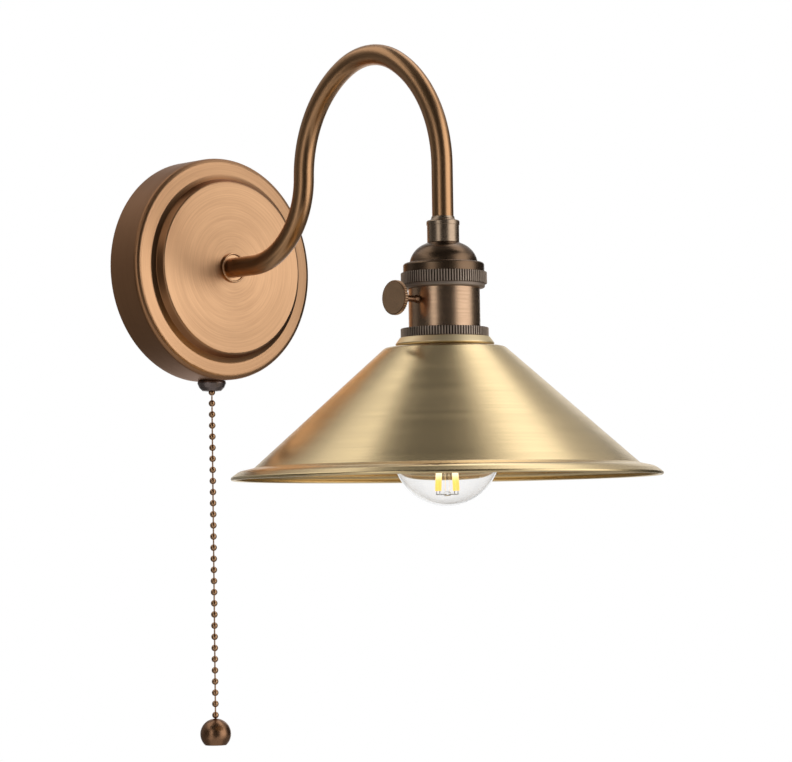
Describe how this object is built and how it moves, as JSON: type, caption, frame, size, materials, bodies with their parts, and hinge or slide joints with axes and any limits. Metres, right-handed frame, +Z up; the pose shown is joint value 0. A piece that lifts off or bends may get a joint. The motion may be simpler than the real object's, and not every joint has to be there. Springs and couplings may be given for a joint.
{
  "type": "wall light with swan-neck arm",
  "caption": "Wall light: round stepped backplate, swan-neck arm, turn-switch lampholder with a cone shade and round lamp, and a bead pull chain under the backplate.",
  "frame": {"origin": "centre of the backplate, in the plane of the wall", "axes": "+Z is up, +Y points into the wall, and the arm, shade and lamp stand out towards -Y; the switch knob is on the -X side"},
  "size_m": [0.2394, 0.3385, 0.4066],
  "materials": {
    "aged_copper": "brushed, antique copper",
    "dark_bronze": "satin",
    "gunmetal": "satin",
    "shade_brass": "satin, brushed",
    "plain_steel": "zinc plated",
    "plain_brass": "plain",
    "contact_metal": "plain",
    "dark_insulator": "matt",
    "white_insulator": "matt",
    "liner_board": "matt",
    "flex_sheath": "matt",
    "wire_sheath": "matt",
    "clear_glass": "clear",
    "lamp_aluminium": "plain",
    "lit_filament": "lit"
  },
  "bodies": {
    "wall_light": {"wall_plate": "plain_steel", "cover_brackets": "plain_steel", "backplate_cover": "aged_copper", "cover_screws": "dark_bronze", "terminal_block": "white_insulator", "terminal_screws": "plain_steel", "earth_washer": "plain_brass", "earth_screw": "plain_brass", "arm_tube": "aged_copper", "root_collar": "aged_copper", "arm_washer": "plain_steel", "arm_nut": "plain_steel", "pull_switch_body": "dark_insulator", "pull_switch_bush": "plain_brass", "pull_switch_nut": "plain_steel", "pull_switch_bell": "gunmetal", "switch_spring": "plain_steel", "neck_bush": "aged_copper", "neck_grub_screw": "plain_steel", "neck_nipple": "plain_brass", "neck_nut": "plain_steel", "holder_cap": "aged_copper", "clamp_ring": "dark_bronze", "holder_barrel": "aged_copper", "upper_shade_ring": "dark_bronze", "lower_shade_ring": "dark_bronze", "insulating_liner": "liner_board", "socket_core": "dark_insulator", "screw_shell": "contact_metal", "centre_contact": "contact_metal", "holder_terminal_screws": "plain_brass", "shade_collar": "shade_brass", "shade": "shade_brass", "lamp_flex": "flex_sheath", "switch_wires": "wire_sheath"},
    "pull_rod": {"switch_pull_rod": "dark_bronze"},
    "chain_head": {"chain_second_bead": "dark_bronze"},
    "chain": {"pull_chain": "dark_bronze", "pull_ball": "dark_bronze"},
    "knob": {"switch_knob": "aged_copper", "knob_spindle": "dark_bronze", "switch_cam": "white_insulator"},
    "lamp_foot": {"lamp_contact": "contact_metal"},
    "lamp": {"lamp_glass": "clear_glass", "lamp_cap": "lamp_aluminium", "lamp_insulator": "dark_insulator", "lamp_stem": "clear_glass", "lamp_filaments": "lit_filament", "lamp_wires": "plain_steel"}
  },
  "joints": [
    {"name": "chain_pull", "type": "slide", "parent": "wall_light", "child": "pull_rod", "axis": [0, 0, -1], "range_m": [0, 0.008], "stiffness_N_per_m": 600, "springref_m": -0.002, "deforming": ["switch_spring"]},
    {"name": "chain_swing_side", "type": "hinge", "parent": "pull_rod", "child": "chain_head", "pos_m": [0, -0.011, -0.0744], "axis": [0, 1, 0], "range_deg": [-35, 35]},
    {"name": "chain_swing_out", "type": "hinge", "parent": "chain_head", "child": "chain", "pos_m": [0, -0.011, -0.08115], "axis": [-1, 0, 0], "range_deg": [0, 35]},
    {"name": "knob_turn", "type": "hinge", "parent": "wall_light", "child": "knob", "pos_m": [0, -0.21877, -0.03353], "axis": [-1, 0, 0], "continuous": true},
    {"name": "lamp_drop", "type": "slide", "parent": "wall_light", "child": "lamp_foot", "axis": [0, 0, -1], "range_m": [0, 0.02]},
    {"name": "lamp_turn", "type": "hinge", "parent": "lamp_foot", "child": "lamp", "pos_m": [0, -0.21877, -0.1], "axis": [0, 0, -1], "range_deg": [0, 1980]}
  ],
  "couplings": [
    {"joint": "lamp_drop", "follows": "lamp_turn", "m_per_rad": 0.0005775}
  ]
}
